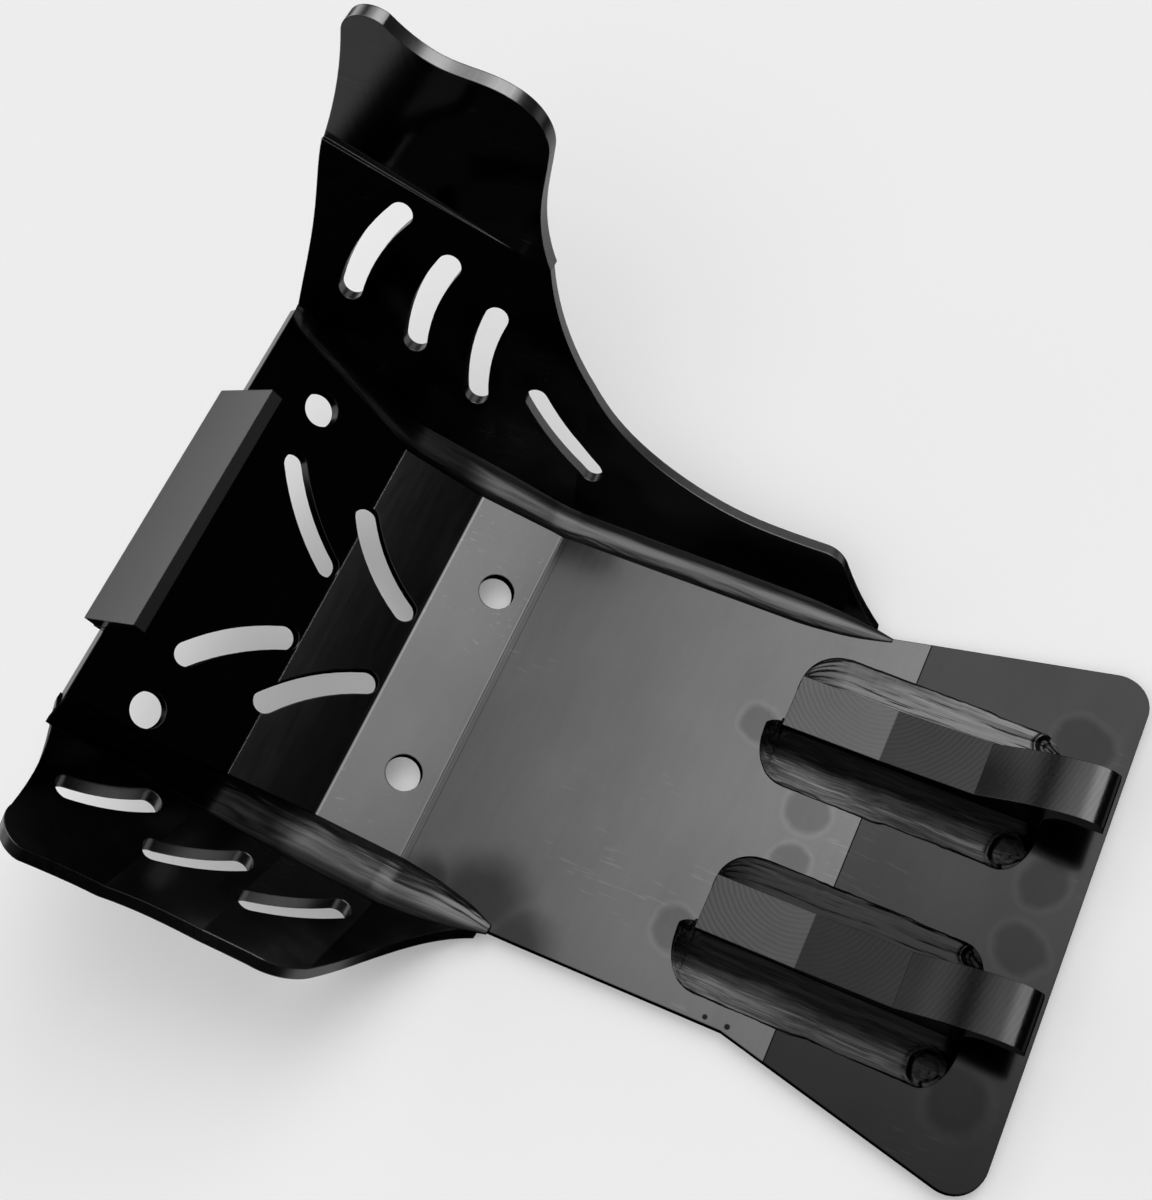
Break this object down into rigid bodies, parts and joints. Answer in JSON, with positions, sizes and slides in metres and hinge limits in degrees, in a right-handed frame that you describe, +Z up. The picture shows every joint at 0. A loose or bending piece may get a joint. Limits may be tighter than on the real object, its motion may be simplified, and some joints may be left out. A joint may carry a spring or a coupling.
{
  "type": "motorcycle skid plate",
  "caption": "Folded and welded black aluminium skid plate for a motorcycle, with a tall right wing, a low left wing, curved vent slots and rear hooks.",
  "frame": {"origin": "underside of the floor on the centre line, at the first fold of the nose", "axes": "+X forward to the front lip, +Y to the rider's left, +Z up into the engine"},
  "size_m": [0.3217, 0.2543, 0.1835],
  "materials": {
    "floor": "satin black anodised, brushed",
    "wing": "satin black anodised",
    "lip": "satin black anodised",
    "bracket": "machined, then anodised black",
    "weld": "welded bead, anodised dark grey"
  },
  "bodies": {
    "root": {"main_plate": "floor", "right_wing": "wing", "left_wing": "wing", "top_lip": "lip", "right_hook_bracket": "bracket", "left_hook_bracket": "bracket", "right_wing_weld": "weld", "left_wing_weld": "weld", "right_inner_hook_weld": "weld", "right_outer_hook_weld": "weld", "left_inner_hook_weld": "weld", "left_outer_hook_weld": "weld", "top_lip_rear_weld": "weld", "top_lip_front_weld": "weld"}
  },
  "joints": []
}
